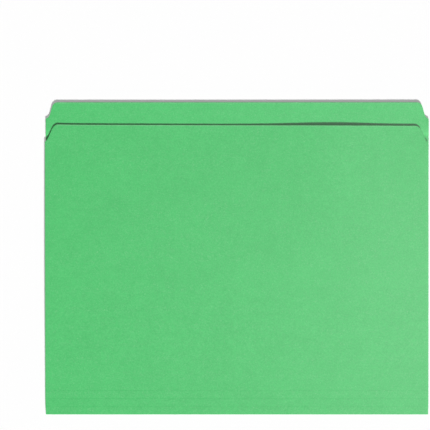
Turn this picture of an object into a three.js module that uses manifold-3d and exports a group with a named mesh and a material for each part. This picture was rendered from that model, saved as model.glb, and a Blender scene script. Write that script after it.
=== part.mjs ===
// A file folder for letter-size papers, lying closed on its back panel.
//
// The folder is one sheet of coloured card, creased into panels. The back panel ends in a tab that
// runs the full width, the front flap stops short of it, and the outer edge of each is turned over
// to the inside as a second, glued ply. Three score lines cross the front beside the fold, where the
// card creases to make room for a thick sheaf of papers.
//
// Every panel, crease and ply is a solid of its own. Neighbours stand a narrow gap apart where the
// real card bends.
//
// Frame, in millimetres: +X along the fold, +Y from the fold to the tab, +Z up. The origin is the
// middle of the folder's footprint, on the outer face of the back panel.

import * as THREE from "three";
import { mergeVertices } from "three/addons/utils/BufferGeometryUtils.js";
import Module from "manifold-3d";

// The sheet
const BOARD = 0.28; // thickness of the card
const PANEL_WIDTH = 295.3; // along the fold
const BACK_HEIGHT = 240.5; // from the fold's outer edge to the tab's top edge
const TAB_SHOWS = 17.3; // how much of the tab shows beyond the front flap

// The plies turned over to the inside
const HEM_DEPTH = 25.4;
const GLUE_LINE = 0.05; // between a panel and its ply

// The shoulders, cut at both ends of the tab
const TAB_DROP = 12.9; // from the top edge down to where the full width starts
const TAB_FOOT_ANGLE = THREE.MathUtils.degToRad(36); // leaving the side edge, from level
const TAB_RISE_ANGLE = THREE.MathUtils.degToRad(72); // on the straight part, from level
const TAB_FOOT_RADIUS = 9;
const TAB_CORNER_RADIUS = 4.2;

// The softer shoulders, cut at both ends of the flap's top edge
const FLAP_DROP = 13.6;
const FLAP_FOOT_ANGLE = THREE.MathUtils.degToRad(40);
const FLAP_RISE_ANGLE = THREE.MathUtils.degToRad(65);
const FLAP_FOOT_RADIUS = 9;
const FLAP_CORNER_RADIUS = 6;

// The fold
const FOLD_GAP = 0.3; // between the inner faces at the fold
const FOLD_LEG = 0.2; // how far the crease runs straight past the fold's axis
const FOLD_CLEARANCE = 0.05; // between the turning crease and the panels' edges
const REST_ANGLE = THREE.MathUtils.degToRad(0.65); // how far the card springs open by itself

// The score lines
const SCORE_COUNT = 3;
const SCORE_PITCH = 6.2; // from the fold's outer edge to the first line, and from line to line
const SCORE_BEAD = 0.12; // how far a line's bead stands proud on the inside
const SCORE_GAP = 0.3; // between a bead and the strips beside it

// How finely the curves are cut
const ARC_STEPS = 5; // half the number of straight steps in each curve of a shoulder
const FOLD_STEPS = 12;
const BEAD_SIDES = 16;

// Places that follow from the sizes
const foldInnerRadius = FOLD_GAP / 2;
const foldOuterRadius = foldInnerRadius + BOARD;
const foldY = -BACK_HEIGHT / 2 + foldOuterRadius;
const foldZ = foldOuterRadius;
const tabTopY = BACK_HEIGHT / 2;
const panelSetback = Math.hypot(FOLD_LEG, foldOuterRadius) + FOLD_CLEARANCE;
const coverTop = BACK_HEIGHT - TAB_SHOWS - foldOuterRadius; // from the fold's axis, along the cover
const beadRadius = (BOARD + SCORE_BEAD) / 2;
const beadZ = foldOuterRadius - beadRadius; // flush with the cover's outer face
const scoreSetback = beadRadius + SCORE_GAP;

// The two kinds of shoulder
const tabShoulder = {
  drop: TAB_DROP,
  footAngle: TAB_FOOT_ANGLE,
  riseAngle: TAB_RISE_ANGLE,
  footRadius: TAB_FOOT_RADIUS,
  cornerRadius: TAB_CORNER_RADIUS,
};
const flapShoulder = {
  drop: FLAP_DROP,
  footAngle: FLAP_FOOT_ANGLE,
  riseAngle: FLAP_RISE_ANGLE,
  footRadius: FLAP_FOOT_RADIUS,
  cornerRadius: FLAP_CORNER_RADIUS,
};

const wasm = await Module();
wasm.setup();

// The card: an even green, dyed right through, with a soft sheen
function cardMaterial() {
  return new THREE.MeshStandardMaterial({ color: 0x5dc476, roughness: 0.55, metalness: 0 });
}

// The creases: pressed card, a little smoother and darker than the panels
function creaseMaterial() {
  return new THREE.MeshStandardMaterial({ color: 0x53b86c, roughness: 0.5, metalness: 0 });
}

// The turned-over plies: the sheet's inner side, a little rougher than the outer one
function plyMaterial() {
  return new THREE.MeshStandardMaterial({ color: 0x60c67a, roughness: 0.62, metalness: 0 });
}

function named(name, geometry, material) {
  const mesh = new THREE.Mesh(geometry, material);
  mesh.name = name;
  return mesh;
}

// A closed geometry as a solid that can be cut
function solidOf(geometry) {
  const bare = geometry.clone();
  bare.deleteAttribute("normal");
  bare.deleteAttribute("uv");
  const merged = mergeVertices(bare, 1e-4);
  return new wasm.Manifold(
    new wasm.Mesh({
      numProp: 3,
      vertProperties: merged.attributes.position.array,
      triVerts: new Uint32Array(merged.index.array),
    }),
  );
}

function geometryOf(solid) {
  const mesh = solid.getMesh();
  const geometry = new THREE.BufferGeometry();
  geometry.setAttribute("position", new THREE.BufferAttribute(mesh.vertProperties, 3));
  geometry.setIndex(new THREE.BufferAttribute(mesh.triVerts, 1));
  geometry.computeVertexNormals();
  return geometry;
}

// The right-hand shoulder below a top edge, as points from the side edge up to the top edge.
// It leaves the side edge at a low angle, sweeps up through a hollow arc, runs straight and
// rounds over into the top edge. The two arcs shrink together where the drop has no room for them.
function shoulderPoints(topY, shoulder) {
  const { drop, footAngle, riseAngle } = shoulder;
  const footRise = Math.cos(footAngle) - Math.cos(riseAngle);
  const cornerRise = 1 - Math.cos(riseAngle);
  const arcsRise = shoulder.footRadius * footRise + shoulder.cornerRadius * cornerRise;
  const room = Math.min(1, drop / arcsRise);
  const footRadius = shoulder.footRadius * room;
  const cornerRadius = shoulder.cornerRadius * room;
  const straightRise = drop - arcsRise * room;

  const start = new THREE.Vector2(PANEL_WIDTH / 2, topY - drop);
  const footCentre = new THREE.Vector2(
    start.x + footRadius * Math.sin(footAngle),
    start.y + footRadius * Math.cos(footAngle),
  );
  const footEndX = footCentre.x - footRadius * Math.sin(riseAngle);
  const cornerStartX = footEndX - straightRise / Math.tan(riseAngle);
  const cornerCentre = new THREE.Vector2(
    cornerStartX - cornerRadius * Math.sin(riseAngle),
    topY - cornerRadius,
  );
  const quarter = Math.PI / 2;
  const path = new THREE.Path();
  path.moveTo(start.x, start.y);
  path.absarc(
    footCentre.x,
    footCentre.y,
    footRadius,
    3 * quarter - footAngle,
    3 * quarter - riseAngle,
    true,
  );
  path.absarc(
    cornerCentre.x,
    cornerCentre.y,
    cornerRadius,
    quarter - riseAngle,
    quarter,
    false,
  );
  return path.getPoints(ARC_STEPS);
}

// A flat panel of card between two heights, with a shoulder at each end of its top edge.
// Its lower face lies at the given z.
function panelGeometry(bottomY, topY, z, shoulder) {
  const right = shoulderPoints(topY, shoulder);
  const left = right.map((point) => new THREE.Vector2(-point.x, point.y)).reverse();
  const outline = new THREE.Shape([
    new THREE.Vector2(-PANEL_WIDTH / 2, bottomY),
    new THREE.Vector2(PANEL_WIDTH / 2, bottomY),
    ...right,
    ...left,
  ]);
  const geometry = new THREE.ExtrudeGeometry(outline, { depth: BOARD, bevelEnabled: false });
  return geometry.translate(0, 0, z);
}

// The ply turned over from a panel's top edge: the panel's own outline, cut off at the hem's depth
function hemGeometry(bottomY, topY, z, shoulder) {
  const panel = solidOf(panelGeometry(bottomY, topY, z, shoulder));
  const band = new THREE.BoxGeometry(2 * PANEL_WIDTH, 2 * HEM_DEPTH, 4 * BOARD);
  band.translate(0, topY, z + BOARD / 2);
  return geometryOf(panel.intersect(solidOf(band)));
}

// The fold: card bent round the fold's axis from the back panel's edge to the cover's. The section
// is drawn in Y and Z and extruded along X.
function foldGeometry() {
  const outline = new THREE.Shape();
  const quarter = Math.PI / 2;
  outline.moveTo(FOLD_LEG, -foldOuterRadius);
  outline.lineTo(FOLD_LEG, -foldInnerRadius);
  outline.lineTo(0, -foldInnerRadius);
  outline.absarc(0, 0, foldInnerRadius, 3 * quarter, quarter, true);
  outline.lineTo(FOLD_LEG, foldInnerRadius);
  outline.lineTo(FOLD_LEG, foldOuterRadius);
  outline.lineTo(0, foldOuterRadius);
  outline.absarc(0, 0, foldOuterRadius, quarter, 3 * quarter, false);
  const geometry = new THREE.ExtrudeGeometry(outline, {
    depth: PANEL_WIDTH,
    bevelEnabled: false,
    curveSegments: FOLD_STEPS,
  });
  geometry.translate(0, 0, -PANEL_WIDTH / 2);
  // the section's x and y and the extrusion's z become Y, Z and X
  const alongX = new THREE.Vector3(1, 0, 0);
  const alongY = new THREE.Vector3(0, 1, 0);
  const alongZ = new THREE.Vector3(0, 0, 1);
  return geometry.applyMatrix4(new THREE.Matrix4().makeBasis(alongY, alongZ, alongX));
}

// Distance of a score line from the fold's axis, along the cover
function scoreY(line) {
  return line * SCORE_PITCH - foldOuterRadius;
}

// The strip of card between one crease and the next, counted from the fold
function stripGeometry(strip) {
  const from = strip === 1 ? panelSetback : scoreY(strip - 1) + scoreSetback;
  const to = scoreY(strip) - scoreSetback;
  const geometry = new THREE.BoxGeometry(PANEL_WIDTH, to - from, BOARD);
  return geometry.translate(0, (from + to) / 2, foldInnerRadius + BOARD / 2);
}

// The bead that a score line's rule pressed into the card
function beadGeometry(line) {
  const geometry = new THREE.CylinderGeometry(beadRadius, beadRadius, PANEL_WIDTH, BEAD_SIDES);
  geometry.rotateZ(Math.PI / 2);
  return geometry.translate(0, scoreY(line), beadZ);
}

// The back half lies flat on the table
function backHalf() {
  const group = new THREE.Group();
  const bottomY = foldY + panelSetback;
  const hemZ = BOARD + GLUE_LINE;
  const panel = panelGeometry(bottomY, tabTopY, 0, tabShoulder);
  const hem = hemGeometry(bottomY, tabTopY, hemZ, tabShoulder);
  group.add(named("back_panel", panel, cardMaterial()));
  group.add(named("tab_hem", hem, plyMaterial()));
  return group;
}

// The front half is built from the fold's axis outwards, then turned by its spring
function frontHalf() {
  const group = new THREE.Group();
  group.add(named("fold_crease", foldGeometry(), creaseMaterial()));
  for (let line = 1; line <= SCORE_COUNT; line += 1) {
    group.add(named(`gusset_strip_${line}`, stripGeometry(line), cardMaterial()));
    group.add(named(`score_crease_${line}`, beadGeometry(line), creaseMaterial()));
  }
  const bottomY = scoreY(SCORE_COUNT) + scoreSetback;
  const hemZ = foldInnerRadius - GLUE_LINE - BOARD;
  const panel = panelGeometry(bottomY, coverTop, foldInnerRadius, flapShoulder);
  const hem = hemGeometry(bottomY, coverTop, hemZ, flapShoulder);
  group.add(named("front_flap", panel, cardMaterial()));
  group.add(named("flap_hem", hem, plyMaterial()));
  group.position.set(0, foldY, foldZ);
  group.rotation.x = REST_ANGLE;
  return group;
}

const fileFolder = new THREE.Group();
fileFolder.add(backHalf(), frontHalf());

export default fileFolder;
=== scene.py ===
# %% [markdown]
# # A file folder of green card
#
# A file folder is one sheet of heavy card, die cut, scored and folded by a machine. This lesson
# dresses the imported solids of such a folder. The solids say where every panel and crease is and what
# moves with what. Here the same sheet gets its true edges, its rounded folds, the pressed score
# lines, the slight warp of paper that has lain in a cupboard, and the grain of dyed card.
#
# Lengths are in metres. X runs along the fold, Y from the fold to the tab and Z upwards.

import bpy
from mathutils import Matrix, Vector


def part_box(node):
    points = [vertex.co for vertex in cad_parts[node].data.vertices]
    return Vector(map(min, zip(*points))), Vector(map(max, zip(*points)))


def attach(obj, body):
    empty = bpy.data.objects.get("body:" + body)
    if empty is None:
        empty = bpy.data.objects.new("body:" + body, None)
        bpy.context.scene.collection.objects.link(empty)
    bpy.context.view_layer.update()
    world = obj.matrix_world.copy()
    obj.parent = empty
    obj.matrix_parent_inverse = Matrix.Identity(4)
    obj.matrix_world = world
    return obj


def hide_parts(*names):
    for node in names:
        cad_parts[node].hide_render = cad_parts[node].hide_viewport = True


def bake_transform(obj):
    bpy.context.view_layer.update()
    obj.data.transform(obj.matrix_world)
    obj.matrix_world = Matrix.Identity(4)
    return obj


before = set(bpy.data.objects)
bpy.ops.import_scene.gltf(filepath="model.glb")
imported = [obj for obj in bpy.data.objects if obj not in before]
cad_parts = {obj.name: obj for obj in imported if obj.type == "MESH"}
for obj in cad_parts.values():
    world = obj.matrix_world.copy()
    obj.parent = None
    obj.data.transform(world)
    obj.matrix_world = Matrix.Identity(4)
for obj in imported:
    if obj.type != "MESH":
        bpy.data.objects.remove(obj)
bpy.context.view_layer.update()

# %% Tools of the trade
import math

import bpy
import numpy as np

MM = 0.001


def bell(x, centre, width):
    """A bell curve: 1 at its centre and 0.37 at one width from it."""
    return np.exp(-(((x - centre) / width) ** 2))


def in_mm(values, digits=2):
    """Lengths in millimetres, rounded to be printed."""
    return np.round(np.asarray(values) * 1000, digits).tolist()


print("a bell curve at 0, 1 and 2 widths:", np.round(bell(np.arange(3), 0, 1), 2).tolist())

# %% [markdown]
# ## The sheet
#
# The card is 0.28 mm thick. All the pieces of the folder are cut from one sheet, so they share one
# set of sizes: the width along the fold, the distance from the fold to the tab's edge, the part of
# the tab that shows, the depth of the turned-over plies and the places of the three score lines. The
# sizes are the solids' own, apart from two. The width is a hair narrower, so that the slight skew of
# the two leaves stays inside them, and the tab's shoulders have a flatter foot and a rounder corner.

# %% Sizes of the sheet
BOARD = 0.28 * MM
WIDTH = 294.8 * MM
FOLD_Y = -119.82 * MM  # the fold's axis
FOLD_Z = 0.43 * MM
FOLD_INNER = 0.15 * MM  # the radius inside the fold
TAB_TOP = 120.25 * MM
COVER_TOP = 222.77 * MM  # from the fold's axis, along the cover
REST = math.radians(0.65)  # how far the card springs open by itself
HEM_DEPTH = 25.4 * MM
GLUE_LINE = 0.05 * MM
SCORES = np.array([6.2, 12.4, 18.6]) * MM - FOLD_Z  # from the fold's axis, along the cover
SCORE_REACH = 0.5 * MM  # half the band of card that bends at a score
CORNER = 0.07 * MM  # how round the knife leaves a cut edge
lowest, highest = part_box("back_panel")
print("back panel, solid, mm:", in_mm(np.array(highest) - np.array(lowest)))

# %% [markdown]
# ## The die-cut shoulders
#
# The tab and the flap end in a shoulder at both corners: the edge leaves the side at a low angle,
# sweeps up through a hollow curve, runs straight and rounds over into the top edge. Two circles and
# a line describe it. The flap's shoulders are a little taller, lean more, are rounder at the top and
# have a wider hollow. Writing the half width as a function of the distance below the top edge lets
# one formula shape every row of the card.

# %% Half width of the card below a top edge
class Shoulder:
    """The shape of a shoulder: its height, the angles at its foot and on its rise, and two radii."""

    def __init__(self, drop, foot_angle, rise_angle, foot_radius, top_radius):
        self.drop, self.foot_radius, self.top_radius = drop, foot_radius, top_radius
        foot, rise = math.radians(foot_angle), math.radians(rise_angle)
        self.slope = math.tan(rise)
        self.foot_x = WIDTH / 2 + foot_radius * math.sin(foot)
        self.foot_depth = drop - foot_radius * math.cos(foot)
        self.rise_from = self.foot_depth + foot_radius * math.cos(rise)
        self.rise_to = top_radius * (1 - math.cos(rise))
        self.rise_x = self.foot_x - foot_radius * math.sin(rise)
        straight = (self.rise_from - self.rise_to) / self.slope
        self.top_x = self.rise_x - straight - top_radius * math.sin(rise)

    def half_width(self, depth):
        """Half the card's width at a depth below its top edge.

        From the top down: the round corner, x = top_x + sqrt(R^2 - (R - depth)^2); the straight rise,
        on a line at the rise angle; the hollow foot, x = foot_x - sqrt(r^2 - (depth - foot_depth)^2);
        and then the full width.
        """
        top, hollow = self.top_radius, self.foot_radius
        corner = self.top_x + np.sqrt(np.maximum(0, top**2 - (top - depth) ** 2))
        rise = self.rise_x - (self.rise_from - depth) / self.slope
        foot = self.foot_x - np.sqrt(np.maximum(0, hollow**2 - (depth - self.foot_depth) ** 2))
        parts = [depth < self.rise_to, depth < self.rise_from, depth < self.drop]
        return np.select(parts, [corner, rise, foot], WIDTH / 2)


TAB_SHOULDER = Shoulder(12.75 * MM, 15, 74, 4.5 * MM, 5.0 * MM)
LIP_SHOULDER = Shoulder(13.6 * MM, 40, 65, 9.0 * MM, 6.0 * MM)
for part, shoulder in (("tab", TAB_SHOULDER), ("lip", LIP_SHOULDER)):
    steps = np.linspace(0, shoulder.drop, 7)
    print(f"half widths of the {part} from its top edge down, mm:", in_mm(shoulder.half_width(steps), 1))

# %% [markdown]
# ## How each leaf warps
#
# Card is never flat. The back lies on the table but its tab lifts by about a millimetre, and the
# cover springs up from the fold and then sags, so that its lip stands off the tab in a long wave.
# Each leaf gets a height field that is added to its surface. Both fields are zero, with zero slope, at
# the fold and the scores, so the leaves still meet there.
#
# The folding machine also leaves the leaves a little out of square. Each leaf slides sideways in
# proportion to the distance from the fold, and both are drawn in a little at the fold itself, where
# the card pulls round the bend.

# %% Height and sideways slip of each leaf
LIFT = 0.8 * MM  # of the tab's edge
LIFT_FROM = 20 * MM
ROCK = 0.12
BULGE = 0.3 * MM
FLAP_FROM = SCORES[2] + SCORE_REACH
LIP_GAP = 0.77 * MM
LIP_SHORT = 0.36 * MM
LIP_SLOPE = 0.0028
BEND_REACH = 5 * MM  # how far from the fold the card pulls round the bend
DRAWN_IN = 0.3 * MM
FOLD_SLIP = 0.1 * MM
BACK_SLIP, COVER_SLIP = 0.25 * MM, -0.25 * MM  # at SLIP_LENGTH from the fold
SLIP_LENGTH = 240 * MM


def back_lift(x, y):
    """Height of the back above the table: a parabola from LIFT_FROM to the tab's edge, rocking by an
    eighth from side to side."""
    t = np.clip((y - LIFT_FROM) / (TAB_TOP - LIFT_FROM), 0, 1)
    return LIFT * t**2 * (1 - ROCK * np.cos(2.6 * x / WIDTH + 0.5))


def lip_gap(x):
    """How far the lip's outer face stands off the tab: a steady gap and three bell curves, a soft one
    at the left end, a large one right of the middle and a short one at the right corner."""
    left = 0.1 * MM * bell(x, -150 * MM, 55 * MM)
    right = 0.86 * MM * bell(x, 75 * MM, 42 * MM)
    corner = 0.25 * MM * bell(x, 148 * MM, 20 * MM)
    return LIP_GAP + left + right + corner


def up_flap(along):
    """How far up the flap a point lies: 0 at the last score and 1 at the lip."""
    return np.clip((along - FLAP_FROM) / (COVER_TOP - FLAP_FROM), 0, 1)


def cover_arch(x, along):
    """Height of the cover above its straight plane: a low arch minus a sag that grows with the square
    of the distance from the last score and brings the lip down to its gap over the tab."""
    t = up_flap(along)
    lip_y = FOLD_Y + COVER_TOP * math.cos(REST)
    straight = 2 * FOLD_Z + COVER_TOP * math.sin(REST)
    tab_face = 2 * BOARD + GLUE_LINE + back_lift(x, lip_y)
    sag = straight - tab_face - lip_gap(x)
    return BULGE * np.sin(np.pi * t) ** 2 - sag * t**2


def drawn_in(distance):
    """How much narrower each side is at a distance from the fold: a bell curve."""
    return DRAWN_IN * bell(distance, 0, BEND_REACH)


def slip(distance, share):
    """Sideways slip of a leaf, in proportion to the distance from the fold, and of the fold itself."""
    return share * distance / SLIP_LENGTH + FOLD_SLIP * bell(distance, 0, BEND_REACH)


def lip_line(x):
    """How far short of its nominal line the lip ends: a straight slope down to the right, less a bell
    curve at the left corner, where the edge is turned over a little short."""
    return LIP_SHORT + LIP_SLOPE * x - LIP_SHORT * bell(x, -144 * MM, 12 * MM)


places = np.linspace(-135, 135, 7) * MM
print("lip gap, mm:", in_mm(lip_gap(places)))
print("lip line, mm:", in_mm(lip_line(places)))

# %% [markdown]
# ## One way to make every piece
#
# Every piece is a band of card: a line seen from the side, carried across the width and given the
# card's thickness. The line could be a curve object with a bevel, but a band computed as a grid keeps
# the cut edges true. Each row of the grid is a closed ring: along the outer face, round the cut edge,
# back along the inner face and round the other edge. The rows follow the side line. At both ends
# the ring's two faces are zipped together, so every piece is a closed solid.

# %% The ring round a band of card
COLUMNS = 121
SUPPORT = 1.6  # a column of points just inside the rounded edge, in corners, keeps the face flat


def ring_parts():
    """The ring's points as shares of the half width, steps over the edge, sides and roundness.

    A point's x is share * (half width - corner) + over * corner. Its distance from the middle of the
    card is side * (half thickness - corner + corner * round).
    """
    turn = np.radians([0.0, 30.0, 60.0])
    across = np.linspace(-1, 1, COLUMNS)[1:-1]
    face = np.concatenate([-np.ones(4), across, np.ones(4)])
    share = np.concatenate([face, face[::-1]])
    over_top = np.concatenate([-np.cos(turn), [SUPPORT], 0 * across, [-SUPPORT], np.cos(turn)[::-1]])
    over = np.concatenate([over_top, over_top[::-1]])
    rounding_top = np.concatenate([np.sin(turn), np.ones(COLUMNS), np.sin(turn)[::-1]])
    rounding = np.concatenate([rounding_top, rounding_top[::-1]])
    side = np.concatenate([np.ones(len(face)), -np.ones(len(face))])
    return share, over, side, rounding


SHARE, OVER, SIDE, ROUNDING = ring_parts()
print("points round each ring:", len(SHARE))

# %% The grid of a band becomes a mesh
SHARP_ANGLE = math.radians(40)


def band_faces(rows, ring, outward):
    """Squares between neighbouring rings, and at each end squares that zip the two faces together.

    outward is 1 where x, the line's direction and the outer side make a right-handed set, else -1.
    """
    index = np.arange(rows * ring).reshape(rows, ring)
    beside = np.roll(index, -1, axis=1)
    wall = np.stack([index[:-1], beside[:-1], beside[1:], index[1:]], axis=-1).reshape(-1, 4)
    k = np.arange(ring // 2 - 1)
    zipped = np.stack([k, k + 1, ring - 2 - k, ring - 1 - k], axis=-1)
    faces = np.concatenate([wall, zipped[:, ::-1], zipped + (rows - 1) * ring])
    return faces if outward > 0 else faces[:, ::-1]


def make_mesh(name, points, faces, marks):
    """A mesh object at the origin from an array of points, with its marks as attributes: paler by
    rubbing and a painted highlight, and darker by a painted shade.
    """
    mesh = bpy.data.meshes.new(name)
    mesh.from_pydata(points.reshape(-1, 3).tolist(), [], faces.tolist())
    for mark, values in marks.items():
        layer = mesh.attributes.new(mark, "FLOAT", "POINT")
        layer.data.foreach_set("value", values.astype(np.float32).ravel())
    mesh.shade_smooth()
    mesh.set_sharp_from_angle(angle=SHARP_ANGLE)
    piece = bpy.data.objects.new(name, mesh)
    bpy.context.scene.collection.objects.link(piece)
    print(f"{name}: {len(points.reshape(-1, 3))} points, {len(faces)} faces")
    return piece


# %% A band of card from its side line
EDGE_WEAR = 0.7  # how rubbed the cut edges are; the faces are a fifth of that


def band(name, line, shape):
    """A closed band of card. line is a dict of arrays with one value for each row: y and z of the
    card's middle, ny and nz of its outer side, half (width), slip, outer and inner (thickness each
    side of the middle), and two marks: how much paler by rubbing and a painted highlight, and how
    much darker by a painted shade. shape moves the grid of x, y, z to its place."""
    rows = len(line["y"])
    column = {key: np.broadcast_to(value, rows)[:, None] for key, value in line.items()}
    thick = np.where(SIDE > 0, column["outer"], column["inner"])
    depth = SIDE * (thick - CORNER + CORNER * ROUNDING)
    x = SHARE * (column["half"] - CORNER) + OVER * CORNER + column["slip"]
    y = column["y"] + depth * column["ny"]
    z = column["z"] + depth * column["nz"]
    points = np.stack(shape(x, y, z), axis=-1)
    run_y, run_z = line["y"][1] - line["y"][0], line["z"][1] - line["z"][0]
    outward = run_y * line["nz"][0] - run_z * line["ny"][0]
    edge = np.clip(1.2 - ROUNDING, 0, 1)
    outside = SIDE > 0
    # the marks: cut edges paler by rubbing; on the outer side, paler by rubbing and a painted highlight,
    # and darker by a painted shade
    marks = {
        "worn": np.maximum(edge * EDGE_WEAR, column["worn"] * outside) + 0 * x,
        "pressed": column["pressed"] * outside + 0 * x,
    }
    return make_mesh(name, points, band_faces(rows, len(SHARE), outward), marks)


def flat_line(y, z, up, half, slide, **more):
    """The side line of a flat stretch: the outer side faces up (1) or down (-1)."""
    even = np.ones(len(y))
    line = {"y": y, "z": z * even, "ny": 0 * even, "nz": up * even, "half": half, "slip": slide}
    return {**line, "outer": BOARD / 2, "inner": BOARD / 2, "worn": 0.0, "pressed": 0.0, **more}


def on_back(x, y, z):
    """Places a band of the back leaf: only its lift is added."""
    return x, y, z + back_lift(x, y)


def on_cover(x, along, height):
    """Places a band of the cover: its arch is added and its lip runs askew, then it turns about the
    fold by the rest angle."""
    height = height + cover_arch(x, along)
    along = along - lip_line(x) * up_flap(along) ** 3
    y = FOLD_Y + along * math.cos(REST) - height * math.sin(REST)
    z = FOLD_Z + along * math.sin(REST) + height * math.cos(REST)
    return x, y, z


# %% [markdown]
# ## The finish: dyed card
#
# Folder card is dyed in the pulp, so the colour goes right through and the cut edges are green too.
# Close up it isn't one green. The fibres lie in clumps about a millimetre across, paler and darker by
# a percent or two, over cloudier patches a few millimetres wide. Single fibres show as fine hairs.
# The rollers of the paper machine leave a soft sheen with a faint tooth.
#
# All of that is noise at different scales, read from the place of each point at rest, so the grain
# runs through from piece to piece. Cut edges that hands rub are paler. The face beside each
# turned-over edge and the swellings by the scores are paler too: a painted highlight, with some
# rubbing. The grooves and the fold are darker: a painted shade. The bands carry these marks.

# %% Sums on sockets
class Socket:
    """A node's socket that can be used in sums. Each sign adds one Math node."""

    def __init__(self, tree, plug=None):
        self.tree, self.plug = tree, plug

    def node(self, kind, settings=None, inputs=None, output=0):
        """Adds a node: its settings first, then the values or links of its sockets."""
        made = self.tree.nodes.new(kind)
        for key, value in (settings or {}).items():
            setattr(made, key, value)
        for key, value in (inputs or {}).items():
            if isinstance(value, Socket):
                self.tree.links.new(value.plug, made.inputs[key])
            else:
                made.inputs[key].default_value = value
        return Socket(self.tree, made.outputs[output] if made.outputs else None)

    def sum(self, operation, first, second):
        return self.node("ShaderNodeMath", {"operation": operation}, {0: first, 1: second})

    def __add__(self, other):
        return self.sum("ADD", self, other)

    def __radd__(self, other):
        return self.sum("ADD", other, self)

    def __sub__(self, other):
        return self.sum("SUBTRACT", self, other)

    def __mul__(self, other):
        return self.sum("MULTIPLY", self, other)

    def between(self, low, high):
        """0 below low, 1 above high and smooth in between."""
        values = {"Value": self, "From Min": low, "From Max": high}
        return self.node("ShaderNodeMapRange", {"interpolation_type": "SMOOTHSTEP"}, values)

    def blend(self, first, second):
        """The first colour where this value is 0 and the second where it is 1."""
        values = {0: self, 6: first, 7: second}
        return self.node("ShaderNodeMix", {"data_type": "RGBA"}, values, output=2)


# %% Noise that knows how big a fibre is
def grain(place, size, stretch=(1, 1, 1), turn=0.0, detail=2.0):
    """Noise with features of about the given size in metres, stretched along X and turned about Z."""
    scaled = {"Vector": place, "Scale": stretch, "Rotation": (0, 0, turn)}
    spot = place.node("ShaderNodeMapping", {"vector_type": "TEXTURE"}, scaled)
    return place.node("ShaderNodeTexNoise", {}, {"Vector": spot, "Scale": 1 / size, "Detail": detail})


FIBRE, DRAWN_OUT = 0.16 * MM, 12


def hairs(place, turn):
    """Single fibres: noise drawn out to 2 mm by 0.16 mm, cut off so that only its crests stay."""
    return grain(place, FIBRE, (DRAWN_OUT, 1, 1), turn, 0.0).between(0.66, 0.76)


# %% The card's finish
GREEN = (0.04, 0.488, 0.117)
CLUMPS, CLOUDS, DRIFTS = 0.85, 0.42, 0.3  # how far each kind of noise moves the tone
DARKEST, PALEST, PAINTED_SHADE = 0.86, 1.13, 0.7  # shares of the card's own green; the last is a painted shade for the grooves and the fold
CHALK = 0.015  # white in the palest green
BARE_SHARE, BARE_FIBRE = 0.45, 0.82  # how much of a rubbed edge is bare fibre, and how pale that is; the same pale colour tints the hairs and the painted highlights
TOOTH = 0.05 * MM


def card_finish(name, green, roughness, wear_and_highlight, press=1.0):
    """Dyed card of a linear green. Two numbers say how far edges pale, by rubbing and by a painted
    highlight, and how far a painted shade darkens the grooves and the fold."""
    material = bpy.data.materials.new(name)
    material.use_nodes = True
    tree = material.node_tree
    tree.nodes.clear()
    start = Socket(tree)
    place = start.node("ShaderNodeTexCoord", output="Object")
    # the first mark: cut edges paler by rubbing, and a painted highlight beside turned-over edges and on
    # score swellings; the second: painted shade in the grooves and along the fold
    worn = start.node("ShaderNodeAttribute", {"attribute_name": "worn"}, output="Fac")
    pressed = start.node("ShaderNodeAttribute", {"attribute_name": "pressed"}, output="Fac")

    clumps = grain(place, 1.1 * MM)
    clouds = grain(place, 4.5 * MM, (1.2, 1, 1))
    drifts = grain(place, 38 * MM)
    fibres = hairs(place, 0.3) + hairs(place, -0.5) + hairs(place, 1.4)
    tone = 0.5 + (clumps - 0.5) * CLUMPS + (clouds - 0.5) * CLOUDS + (drifts - 0.5) * DRIFTS
    dark = tuple(c * DARKEST for c in green) + (1.0,)
    pale = tuple(1 - (1 - c * PALEST) * (1 - CHALK) for c in green) + (1.0,)
    pale_rub_and_highlight = tuple((1 - BARE_SHARE) * c + BARE_SHARE * BARE_FIBRE for c in green) + (1.0,)
    painted_shade = tuple(c * PAINTED_SHADE for c in green) + (1.0,)
    colour = tone.between(-0.05, 1.05).blend(dark, pale)
    colour = (fibres * 0.16).blend(colour, pale_rub_and_highlight)
    # painted shade: the grooves and the fold are darkened where their mark is set
    colour = (pressed * press * (0.02 + clumps * 0.07)).blend(colour, painted_shade)
    # paler edges: rubbing, and a painted highlight beside turned-over edges and on the score swellings
    colour = (worn * wear_and_highlight * (0.25 + clumps * 1.3)).blend(colour, pale_rub_and_highlight)

    tooth = grain(place, 0.45 * MM, (1.6, 1, 1), 0.0, 3.0) + clumps * 0.9 + fibres * 0.25
    bump = start.node("ShaderNodeBump", {}, {"Height": tooth, "Strength": 0.32, "Distance": TOOTH})
    gloss = roughness + (clumps - 0.5) * 0.1 + worn * 0.12 - pressed * 0.06
    shader = start.node(
        "ShaderNodeBsdfPrincipled",
        {},
        {"Base Color": colour, "Roughness": gloss, "Normal": bump, "IOR": 1.45},
    )
    start.node("ShaderNodeOutputMaterial", {}, {"Surface": shader})
    return material


def shade(share):
    """A shade of the card's green."""
    return tuple(c * share for c in GREEN)


card = card_finish("dyed_card", GREEN, 0.49, 0.4)
# the score bands: a little darker all over, and darker still in the grooves, a painted shade
crease = card_finish("creased_card", shade(0.98), 0.47, 0.25)
# the fold: a fifth darker, and darker still round the front of the bend, a painted shade
folded = card_finish("fold_card_painted_shade", shade(0.8), 0.47, 0.25, press=18.0)
ply = card_finish("turned_over_card", shade(1.01), 0.5, 0.4)
print("finishes:", [finish.name for finish in (card, crease, folded, ply)])

# %% Dressing a piece
def dress(piece, body, material, slot, *nodes):
    """Gives a piece its finish and the body it rides on, and hides the solids that it stands for."""
    piece.data.materials.append(material)
    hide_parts(*nodes)
    if body is not None:
        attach(piece, body)
    return piece


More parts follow.
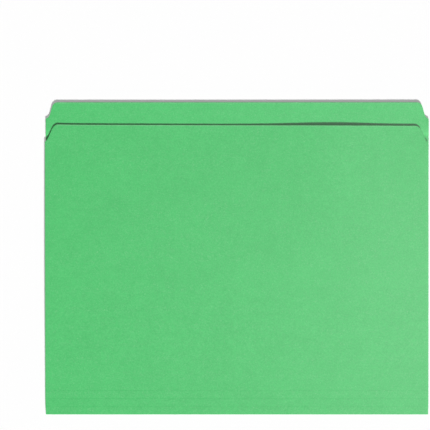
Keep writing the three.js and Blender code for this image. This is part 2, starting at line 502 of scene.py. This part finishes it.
# %% [markdown]
# ## The two leaves and their turned-over plies
#
# The back and the cover are made alike: a panel whose top edge is turned over to the inside and glued
# down, so the edge that hands pull on is two plies thick and round. The panel is one piece, and
# the ply with the bend is another. Rows lie close together in the shoulders and round the bend, and
# far apart on the plain card.

# %% Rows up a leaf and round its turned-over edge
BEND_OUTER = BOARD + GLUE_LINE / 2
BEND_MIDDLE = BEND_OUTER - BOARD / 2
RUB_AND_HIGHLIGHT = 0.9  # how much paler the faces are right beside a turned-over edge: rubbing, and a painted highlight of the edge
RUB_AND_HIGHLIGHT_REACH = 1.0 * MM
PLAIN_STEP = 3.2 * MM  # between rows on the plain card
BELOW_BEND = BEND_OUTER + np.array([0.06, 0.12]) * MM  # two rows that keep the bend's shading short


def panel_depths(deepest, shoulder):
    """Depths below the top edge, from the deepest up to where the edge starts to bend over."""
    drop, radius = shoulder.drop, shoulder.top_radius
    plain = np.linspace(deepest, drop, max(3, int((deepest - drop) / PLAIN_STEP)))[:-1]
    foot = np.linspace(drop, shoulder.rise_from, 9)[:-1]
    rise = np.linspace(shoulder.rise_from, shoulder.rise_to, 5)[:-1]
    first, last = math.acos(1 - shoulder.rise_to / radius), math.acos(1 - BEND_OUTER / radius)
    corner = radius * (1 - np.cos(np.linspace(first, last, 11)))
    return np.concatenate([plain, foot, rise, corner])


def rub_and_highlight_by_edge(depth):
    """How much paler the face is at a depth below a turned-over edge, by rubbing and a painted
    highlight: half a bell curve.
    """
    return RUB_AND_HIGHLIGHT * bell(depth, 0, RUB_AND_HIGHLIGHT_REACH)


def panel_line(bottom, top, z, up, share, distance_from, shoulder):
    """The side line of a panel from its bottom to where its top edge bends over."""
    depths = panel_depths(top - bottom, shoulder)
    y = top - depths
    distance = y - distance_from
    half = shoulder.half_width(depths) - drawn_in(distance)
    # the face beside the top edge is paler: rubbing and a painted highlight
    return flat_line(y, z, up, half, slip(distance, share), worn=rub_and_highlight_by_edge(depths))


def ply_line(top, z, up, share, distance_from, shoulder):
    """The side line of a turned-over ply: half a turn round the bend, then down the inside.

    Round the bend the middle lies at centre + radius * (sin b, up * cos b) for b from 0 to half a
    turn, and its outer side points the same way. The free edge is cut, so its faces round over, but
    not quite to a quarter turn, or the last faces at its two ends would have no area.
    """
    turn = np.linspace(0, np.pi, 15)
    centre = top - BEND_OUTER
    inside = panel_depths(HEM_DEPTH - CORNER, shoulder)[::-1][1:]
    cut = np.radians([60.0, 30.0, 2.0])
    depths = np.concatenate([BELOW_BEND, inside, HEM_DEPTH - CORNER * (1 - np.cos(cut))])
    inset = np.concatenate([np.zeros(len(turn) + len(depths) - 3), CORNER * (1 - np.sin(cut))])
    y = np.concatenate([centre + BEND_MIDDLE * np.sin(turn), top - depths])
    below = np.concatenate([BEND_OUTER * (1 - np.sin(turn)), depths])
    flat = np.ones(len(depths))
    height = z - up * BEND_MIDDLE + up * BEND_MIDDLE * np.concatenate([np.cos(turn), -flat])
    distance = y - distance_from
    # paler round the bend and beside it: rubbing and a painted highlight
    pale_rub_and_highlight = np.concatenate([RUB_AND_HIGHLIGHT * np.cos(turn) ** 2, rub_and_highlight_by_edge(depths)])
    return {
        "y": y,
        "z": height,
        "ny": np.concatenate([np.sin(turn), 0 * flat]),
        "nz": up * np.concatenate([np.cos(turn), -flat]),
        "half": shoulder.half_width(below) - drawn_in(distance),
        "slip": slip(distance, share),
        "outer": BOARD / 2 - inset,
        "inner": BOARD / 2 - inset,
        "worn": pale_rub_and_highlight,
        "pressed": 0.0,
    }


# %% The back and its tab
back_side = panel_line(FOLD_Y, TAB_TOP, BOARD / 2, -1, BACK_SLIP, FOLD_Y, TAB_SHOULDER)
back_board = band("back_board", back_side, on_back)
dress(back_board, "back", card, "card", "back_panel")
tab_side = ply_line(TAB_TOP, BOARD / 2, -1, BACK_SLIP, FOLD_Y, TAB_SHOULDER)
tab_ply = band("tab_ply", tab_side, on_back)
dress(tab_ply, "back", ply, "ply", "tab_hem")

# %% The cover and its lip
cover_z = FOLD_INNER + BOARD / 2
cover_side = panel_line(FLAP_FROM, COVER_TOP, cover_z, 1, COVER_SLIP, 0, LIP_SHOULDER)
cover_board = band("cover_board", cover_side, on_cover)
dress(cover_board, "cover", card, "card", "front_flap")
lip_side = ply_line(COVER_TOP, cover_z, 1, COVER_SLIP, 0, LIP_SHOULDER)
lip_ply = band("lip_ply", lip_side, on_cover)
dress(lip_ply, "cover", ply, "ply", "flap_hem")

# %% [markdown]
# ## The gusset
# The groove is also painted darker, a painted shade, and the swellings paler, a painted highlight.
#
# Beside the fold the cover has three score lines about a quarter of an inch apart. They let the
# bottom of the folder widen as papers fill it. A blunt steel rule presses each line into the outer
# face, so outside there is a shallow groove with a faint swelling on each side, and inside a small
# ridge. The groove is real relief here, 0.04 mm deep, because a bump alone would vanish in a low
# view.
#
# The third score is where the cover bends up from the gusset. Its band rides on no body; it is
# built where it lies at rest.

# %% Strips between the creases
def gusset_line(y, **more):
    """The side line of a flat band of the gusset, through distances y from the fold's axis."""
    return flat_line(y, cover_z, 1, WIDTH / 2 - drawn_in(y), slip(y, COVER_SLIP), **more)


STRIP_BODIES = ("gusset", "gusset", "gusset", "cover")
starts = np.concatenate([[0.0], SCORES[:2] + SCORE_REACH])
for number, (start, end) in enumerate(zip(starts, SCORES - SCORE_REACH), 1):
    strip = band(f"gusset_board_{number}", gusset_line(np.linspace(start, end, 7)), on_cover)
    dress(strip, STRIP_BODIES[number - 1], card, "card", f"gusset_strip_{number}")

# %% Pressed score lines
GROOVE, SWELL, RIDGE = 0.04 * MM, 0.01 * MM, 0.1 * MM
GROOVE_REACH, SWELL_REACH, RIDGE_REACH = 0.2 * MM, 0.09 * MM, 0.24 * MM
SWELL_PLACE = 0.34 * MM  # from the middle of the groove
# the swellings are painted paler: a painted highlight
SWELL_HIGHLIGHT = 0.35


def score_line(middle):
    """The side line of the band of card round a score: a bell-shaped groove outside, two faint
    swellings beside it and a bell-shaped ridge inside."""
    off = np.linspace(-SCORE_REACH, SCORE_REACH, 23)
    fade = np.cos(off / SCORE_REACH * np.pi / 2) ** 2
    groove = bell(off, 0, GROOVE_REACH)
    swell = bell(np.abs(off), SWELL_PLACE, SWELL_REACH) * fade
    outer = BOARD / 2 - GROOVE * groove * fade**0.25 + SWELL * swell
    inner = BOARD / 2 + RIDGE * bell(off, 0, RIDGE_REACH) * fade**0.25
    # the swellings carry a painted highlight and the groove a painted shade
    return gusset_line(middle + off, outer=outer, inner=inner, worn=SWELL_HIGHLIGHT * swell, pressed=groove)


def cover_point(along):
    """A point of the row frame in the middle of the card, at a distance from the fold's axis."""
    return [float(v) for v in on_cover(0.0, along, cover_z)]


for number, middle in enumerate(SCORES, 1):
    before, after = STRIP_BODIES[number - 1], STRIP_BODIES[number]
    score = band(f"score_{number}", score_line(middle), on_cover)
    dress(score, before if before == after else None, crease, "crease", f"score_crease_{number}")
    if before != after:
        cover_point(middle - SCORE_REACH)
        cover_point(middle + SCORE_REACH)
        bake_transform(score)

# %% [markdown]
# ## The fold
#
# The machine folds the sheet round a thin blade, so the bend is tight but not sharp: a half turn with
# an outer radius of under half a millimetre. The outside is pressed smooth, and it is painted a fifth
# darker and darker still at the front of the bend: a painted shade. The bend rides on no body; it is
# built where it lies at rest.

# %% The bend from the back to the gusset
turn = np.linspace(0, np.pi - REST, 25)
bend_middle = FOLD_INNER + BOARD / 2
fold_line = {
    "y": FOLD_Y - bend_middle * np.sin(turn),
    "z": FOLD_Z - bend_middle * np.cos(turn),
    "ny": -np.sin(turn),
    "nz": -np.cos(turn),
    "half": WIDTH / 2 - drawn_in(0.0),
    "slip": slip(0.0, 0.0),
    "outer": BOARD / 2,
    "inner": BOARD / 2,
    "worn": 0.0,
    # painted shade, darkest at the front of the bend
    "pressed": np.sin(turn) ** 2,
}
fold = band("fold_bend", fold_line, lambda x, y, z: (x, y, z))
dress(fold, None, folded, "crease", "fold_crease")
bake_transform(fold)

# %% [markdown]
# ## Table and light
#
# The folder lies on a plain white table, seen from straight above, as on a copy stand. One low lamp
# in front of the fold, a little to the right, draws the shadows of the tab and of the lip, and the
# sky fills them. Together they light a level surface to about 1, so colours come out as they are
# written.
#
# The sheen is lit apart from that, or the low lamp would glare in low views. That lamp adds no gloss,
# and a broad lamp high on the right adds nothing else: the card's sheen fades towards the left.
#
# A real table would show the shadows as dark as the card does. Under a product shot it is nearly
# blank, so three tenths of its white is its own glow, and the shadows on it are pale. The glow and
# the full white of the sky are for rays that show the background: they come from the camera, off
# gloss or through something clear. All other rays meet a dim sky and a table that doesn't glow.

# %% White table
TABLE_WHITE, TABLE_GLOW = 0.99, 0.3
TABLE_SIZE, TABLE_GAP = 6, 0.02 * MM


def background_rays(tree):
    """1 on rays that show the background: from the camera, off gloss or through something clear."""
    start = Socket(tree)
    kinds = ["Is Camera Ray", "Is Glossy Ray", "Is Transmission Ray"]
    camera, glossy, through = [start.node("ShaderNodeLightPath", output=kind) for kind in kinds]
    return start.sum("MINIMUM", camera + glossy + through, 1.0)


bpy.ops.mesh.primitive_plane_add(size=TABLE_SIZE, location=(0, 0, -TABLE_GAP))
table = bpy.context.object
table.name = "table"
white = bpy.data.materials.new("white_table")
white.use_nodes = True
white.node_tree.nodes.clear()
top = Socket(white.node_tree)
matt = top.node("ShaderNodeBsdfDiffuse", inputs={"Color": (TABLE_WHITE,) * 3 + (1,)})
glow = top.node("ShaderNodeEmission", inputs={"Color": (1, 1, 1, 1), "Strength": 1.0})
share = background_rays(white.node_tree) * TABLE_GLOW
mixed = top.node("ShaderNodeMixShader", inputs={0: share, 1: matt, 2: glow})
top.node("ShaderNodeOutputMaterial", inputs={"Surface": mixed})
table.data.materials.append(white)
print("table:", table.name, "with", white.name)

# %% Lamps and sky
def lamp(name, kind, strength, place, **settings):
    """A lamp at a place, turned towards the middle of the folder."""
    light = bpy.data.lights.new(name, kind)
    light.energy = strength
    for key, value in settings.items():
        setattr(light, key, value)
    holder = bpy.data.objects.new(name, light)
    bpy.context.scene.collection.objects.link(holder)
    holder.location = place
    x, y, z = place
    holder.rotation_euler = (math.atan2(math.hypot(x, y), z), 0, math.atan2(x, -y))
    return holder


SKY = 0.1
KEY_SIDE, KEY_HEIGHT, KEY_SPREAD = np.radians([16.0, 30.0, 9.0]).tolist()
KEY_STRENGTH, KEY_DISTANCE = 5.65, 2
SHEEN_POWER, SHEEN_SIZE, SHEEN_PLACE = 33, 0.5, (0.78, -0.2, 1.88)
key_place = (
    KEY_DISTANCE * math.cos(KEY_HEIGHT) * math.sin(KEY_SIDE),
    -KEY_DISTANCE * math.cos(KEY_HEIGHT) * math.cos(KEY_SIDE),
    KEY_DISTANCE * math.sin(KEY_HEIGHT),
)
key = lamp("low_lamp", "SUN", KEY_STRENGTH, key_place, angle=KEY_SPREAD)
key.visible_glossy = False
sheen = lamp("sheen_lamp", "AREA", SHEEN_POWER, SHEEN_PLACE, shape="DISK", size=SHEEN_SIZE)
sheen.visible_diffuse = False
level = KEY_STRENGTH * math.sin(KEY_HEIGHT) / math.pi + SKY
print("light on a level surface:", round(level, 3))
sky = bpy.data.worlds.new("studio")
sky.use_nodes = True
dome = sky.node_tree.nodes["Background"]
dome.inputs["Color"].default_value = (1, 1, 1, 1)
strength = SKY + background_rays(sky.node_tree) * (1 - SKY)
sky.node_tree.links.new(strength.plug, dome.inputs["Strength"])
bpy.context.scene.world = sky
bpy.context.scene.view_settings.view_transform = "Standard"

# %% Camera straight above
VIEW_MIDDLE, VIEW_WIDTH = (-16.88 * MM, 33.35 * MM), 331.3 * MM
CAMERA_HEIGHT, SENSOR = 1.0, 36
camera = bpy.data.objects.new("camera", bpy.data.cameras.new("camera"))
bpy.context.scene.collection.objects.link(camera)
camera.location = (*VIEW_MIDDLE, CAMERA_HEIGHT)
camera.data.sensor_width = SENSOR
camera.data.lens = SENSOR * CAMERA_HEIGHT / VIEW_WIDTH
camera.data.clip_start = 0.01
bpy.context.scene.camera = camera
print("lens", round(camera.data.lens, 1), "mm")
